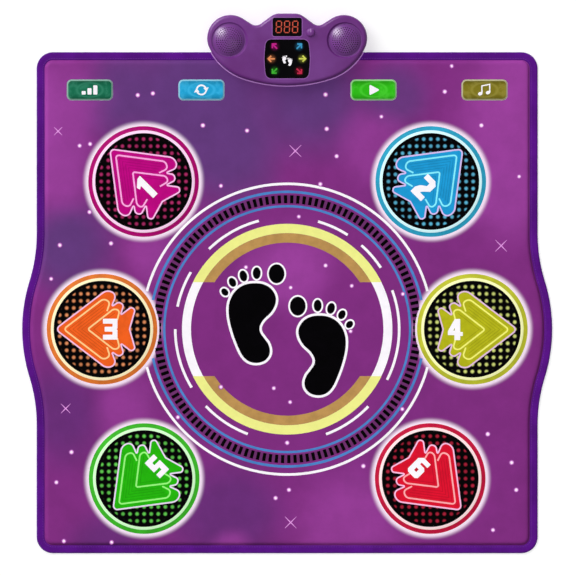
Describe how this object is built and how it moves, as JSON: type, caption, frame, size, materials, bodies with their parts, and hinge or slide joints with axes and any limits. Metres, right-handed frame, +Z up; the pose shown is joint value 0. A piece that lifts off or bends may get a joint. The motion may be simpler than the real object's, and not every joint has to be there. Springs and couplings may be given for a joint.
{
  "type": "dance rhythm mat",
  "caption": "Padded square dance mat with round sprung step pads, a row of pressable control buttons and a rigid sound console clipped to its rear edge.",
  "frame": {"origin": "on the floor under the centre of the whole object's plan box", "axes": "+Z up, +Y from the player towards the console at the rear, +X to the player's right"},
  "size_m": [0.9118, 0.928, 0.0492],
  "materials": {
    "printed_cover": "printed vinyl laminate on foam, soft satin sheen",
    "underside_cloth": "dark non-slip backing cloth",
    "binding_tape": "folded binding tape, matt violet",
    "foam": "white polyethylene foam",
    "film": "clear film with printed tracks",
    "console_plastic": "moulded purple plastic, fine satin grain",
    "grille_plastic": "moulded purple plastic",
    "black_lens": "smoked gloss plastic",
    "display_body": "white moulded digit frame",
    "shroud_plastic": "white light box",
    "led": "clear diffused lens",
    "board": "green solder mask",
    "switch_body": "black moulding",
    "knob_plastic": "moulded purple plastic",
    "speaker_steel": "pressed steel, black",
    "magnet": "ferrite, dark grey",
    "cone_paper": "black paper cone",
    "cell_jacket": "plain dark jacket",
    "spring_steel": "nickel plated",
    "screw_steel": "zinc plated",
    "foot_rubber": "black rubber",
    "pad_print_1": "printed vinyl, black disc with magenta dots and arrow",
    "pad_print_2": "printed vinyl, black disc with blue dots and arrow",
    "pad_print_3": "printed vinyl, black disc with orange dots and arrow",
    "pad_print_4": "printed vinyl, black disc with yellow-green dots and arrow",
    "pad_print_5": "printed vinyl, black disc with green dots and arrow",
    "pad_print_6": "printed vinyl, black disc with red dots and arrow",
    "levels_print": "printed vinyl, pale outline and a pictogram",
    "mode_print": "printed vinyl, pale outline and a pictogram",
    "start_print": "printed vinyl, pale outline and a pictogram",
    "music_print": "printed vinyl, pale outline and a pictogram"
  },
  "bodies": {
    "mat": {"base_sheet": "underside_cloth", "lower_film": "film", "spacer_foam": "foam", "upper_film": "film", "top_foam": "foam", "top_cover": "printed_cover", "edge_binding": "binding_tape", "upper_shell": "console_plastic", "lower_shell": "console_plastic", "left_grille": "grille_plastic", "right_grille": "grille_plastic", "left_speaker_frame": "speaker_steel", "right_speaker_frame": "speaker_steel", "left_speaker_magnet": "magnet", "right_speaker_magnet": "magnet", "display_window": "black_lens", "display_module": "display_body", "arrow_panel": "black_lens", "light_shroud": "shroud_plastic", "arrow_leds": "led", "main_board": "board", "volume_switch": "switch_body", "clamp_bar": "console_plastic", "ribbon_tail": "film", "battery_cells": "cell_jacket", "battery_contacts": "spring_steel", "rubber_feet": "foot_rubber", "shell_screws": "screw_steel", "small_screws": "screw_steel"},
    "pad_1": {"step_pad_1": "pad_print_1", "pad_foam_1": "foam", "pad_contact_1": "film"},
    "pad_2": {"step_pad_2": "pad_print_2", "pad_foam_2": "foam", "pad_contact_2": "film"},
    "pad_3": {"step_pad_3": "pad_print_3", "pad_foam_3": "foam", "pad_contact_3": "film"},
    "pad_4": {"step_pad_4": "pad_print_4", "pad_foam_4": "foam", "pad_contact_4": "film"},
    "pad_5": {"step_pad_5": "pad_print_5", "pad_foam_5": "foam", "pad_contact_5": "film"},
    "pad_6": {"step_pad_6": "pad_print_6", "pad_foam_6": "foam", "pad_contact_6": "film"},
    "levels": {"levels_button": "levels_print", "levels_button_plunger": "foam"},
    "mode": {"mode_button": "mode_print", "mode_button_plunger": "foam"},
    "start": {"start_button": "start_print", "start_button_plunger": "foam"},
    "music": {"music_button": "music_print", "music_button_plunger": "foam"},
    "volume": {"volume_knob": "knob_plastic", "switch_shaft": "spring_steel"},
    "door": {"battery_door": "console_plastic"},
    "left_cone": {"left_speaker_cone": "cone_paper"},
    "right_cone": {"right_speaker_cone": "cone_paper"}
  },
  "joints": [
    {"name": "pad_1_press", "type": "slide", "parent": "mat", "child": "pad_1", "axis": [0, 0, -1], "range_m": [0, 0.0022], "stiffness_N_per_m": 4000, "springref_m": -0.001},
    {"name": "pad_2_press", "type": "slide", "parent": "mat", "child": "pad_2", "axis": [0, 0, -1], "range_m": [0, 0.0022], "stiffness_N_per_m": 4000, "springref_m": -0.001},
    {"name": "pad_3_press", "type": "slide", "parent": "mat", "child": "pad_3", "axis": [0, 0, -1], "range_m": [0, 0.0022], "stiffness_N_per_m": 4000, "springref_m": -0.001},
    {"name": "pad_4_press", "type": "slide", "parent": "mat", "child": "pad_4", "axis": [0, 0, -1], "range_m": [0, 0.0022], "stiffness_N_per_m": 4000, "springref_m": -0.001},
    {"name": "pad_5_press", "type": "slide", "parent": "mat", "child": "pad_5", "axis": [0, 0, -1], "range_m": [0, 0.0022], "stiffness_N_per_m": 4000, "springref_m": -0.001},
    {"name": "pad_6_press", "type": "slide", "parent": "mat", "child": "pad_6", "axis": [0, 0, -1], "range_m": [0, 0.0022], "stiffness_N_per_m": 4000, "springref_m": -0.001},
    {"name": "levels_press", "type": "slide", "parent": "mat", "child": "levels", "axis": [0, 0, -1], "range_m": [0, 0.0012], "stiffness_N_per_m": 1500, "springref_m": -0.0005},
    {"name": "mode_press", "type": "slide", "parent": "mat", "child": "mode", "axis": [0, 0, -1], "range_m": [0, 0.0012], "stiffness_N_per_m": 1500, "springref_m": -0.0005},
    {"name": "start_press", "type": "slide", "parent": "mat", "child": "start", "axis": [0, 0, -1], "range_m": [0, 0.0012], "stiffness_N_per_m": 1500, "springref_m": -0.0005},
    {"name": "music_press", "type": "slide", "parent": "mat", "child": "music", "axis": [0, 0, -1], "range_m": [0, 0.0012], "stiffness_N_per_m": 1500, "springref_m": -0.0005},
    {"name": "volume_turn", "type": "hinge", "parent": "mat", "child": "volume", "pos_m": [0.0404, 0.431, 0.0408], "axis": [0, 0, -1], "range_deg": [0, 60]},
    {"name": "battery_door_slide", "type": "slide", "parent": "mat", "child": "door", "axis": [0, 1, 0], "range_m": [0, 0.066]},
    {"name": "left_cone_travel", "type": "slide", "parent": "mat", "child": "left_cone", "axis": [0, 0, 1], "range_m": [-0.0008, 0.0008], "stiffness_N_per_m": 2000},
    {"name": "right_cone_travel", "type": "slide", "parent": "mat", "child": "right_cone", "axis": [0, 0, 1], "range_m": [-0.0008, 0.0008], "stiffness_N_per_m": 2000}
  ]
}
